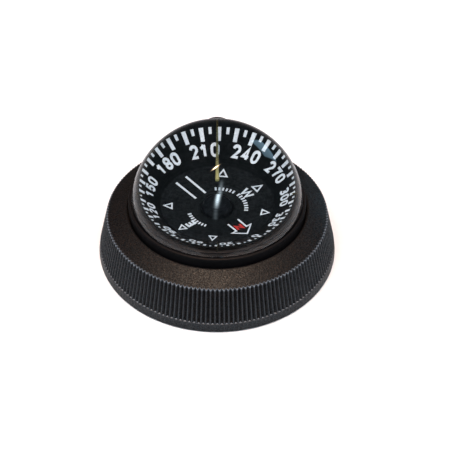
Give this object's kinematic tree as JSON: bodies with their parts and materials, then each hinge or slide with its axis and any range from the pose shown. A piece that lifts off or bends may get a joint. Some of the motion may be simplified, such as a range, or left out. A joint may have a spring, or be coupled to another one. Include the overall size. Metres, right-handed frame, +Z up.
{
  "type": "binnacle compass",
  "caption": "Surface-mounted liquid-filled boat compass with a clear dome, a dished card on gimbals and a ribbed twist-lock cover ring.",
  "frame": {"origin": "centre of the deck plate's flat underside, where the compass stands on the deck", "axes": "+Z is up, +Y points to the bow (the main lubber line), +X to starboard"},
  "size_m": [0.1184, 0.1184, 0.0678],
  "materials": {
    "cover_black": "satin with a fine grain",
    "plate_black": "matte",
    "collar_black": "satin gloss",
    "dome_clear": "clear polished acrylic",
    "bowl_black": "matte",
    "seal_rubber": "matte",
    "grey_rubber": "matte",
    "screw_steel": "bright",
    "brass": "turned",
    "plug_nylon": "matte",
    "gimbal_black": "satin",
    "pin_steel": "polished",
    "lubber_yellow": "satin enamel",
    "card_black": "gloss black with white print",
    "hub_black": "gloss",
    "float_grey": "matte",
    "magnet_steel": "nickel plated",
    "jewel_blue": "polished sapphire",
    "frame_plastic": "matte",
    "terminal_plastic": "matte",
    "lens_red": "clear red",
    "bulb_glass": "clear",
    "wire_sleeve": "flexible sleeve"
  },
  "bodies": {
    "capsule": {"mounting_plate": "plate_black", "deck_gasket": "seal_rubber", "cable_grommet": "grey_rubber", "compensator_frame": "frame_plastic", "frame_screws": "screw_steel", "terminal_block": "terminal_plastic", "terminal_screws": "screw_steel", "capsule_bowl": "bowl_black", "clamp_collar": "collar_black", "collar_screws": "screw_steel", "dome": "dome_clear", "dome_seal": "seal_rubber", "diaphragm": "grey_rubber", "diaphragm_retainer": "gimbal_black", "retainer_screws": "screw_steel", "filler_plug": "plug_nylon", "filler_washer": "seal_rubber", "gimbal_bracket": "gimbal_black", "roll_pins": "pin_steel", "lamp_hood": "collar_black", "lamp_lens": "lens_red", "lamp_bulb": "bulb_glass", "lamp_screws": "screw_steel", "lamp_wires": "wire_sleeve"},
    "cover": {"cover_ring": "cover_black"},
    "roll_ring": {"gimbal_ring": "gimbal_black", "pitch_pins": "pin_steel"},
    "cradle": {"gimbal_cradle": "gimbal_black", "lubber_lines": "lubber_yellow", "pivot_needle": "pin_steel", "counterweight": "brass", "counterweight_nut": "brass"},
    "card": {"compass_card": "card_black", "card_hub": "hub_black", "card_float": "float_grey", "card_magnets": "magnet_steel", "jewel_cup": "brass", "jewel": "jewel_blue"},
    "ew_adjuster": {"ew_adjuster_rod": "brass", "ew_adjuster_magnets": "magnet_steel"},
    "ns_adjuster": {"ns_adjuster_rod": "brass", "ns_adjuster_magnets": "magnet_steel"}
  },
  "joints": [
    {"name": "cover_twist", "type": "hinge", "parent": "capsule", "child": "cover", "pos_m": [0, 0, 0.0065], "axis": [0, 0, 1], "range_deg": [0, 40]},
    {"name": "roll_gimbal", "type": "hinge", "parent": "capsule", "child": "roll_ring", "pos_m": [0, 0, 0.0258], "axis": [0, 1, 0], "range_deg": [-18, 18]},
    {"name": "pitch_gimbal", "type": "hinge", "parent": "roll_ring", "child": "cradle", "pos_m": [0, 0, 0.0258], "axis": [1, 0, 0], "range_deg": [-18, 18]},
    {"name": "card_turn", "type": "hinge", "parent": "cradle", "child": "card", "pos_m": [0, 0, 0.0258], "axis": [0, 0, 1], "continuous": true},
    {"name": "ew_adjust", "type": "hinge", "parent": "capsule", "child": "ew_adjuster", "pos_m": [0.03, 0.011, 0.00575], "axis": [1, 0, 0], "continuous": true},
    {"name": "ns_adjust", "type": "hinge", "parent": "capsule", "child": "ns_adjuster", "pos_m": [0.011, -0.03, 0.00575], "axis": [0, 1, 0], "continuous": true}
  ]
}
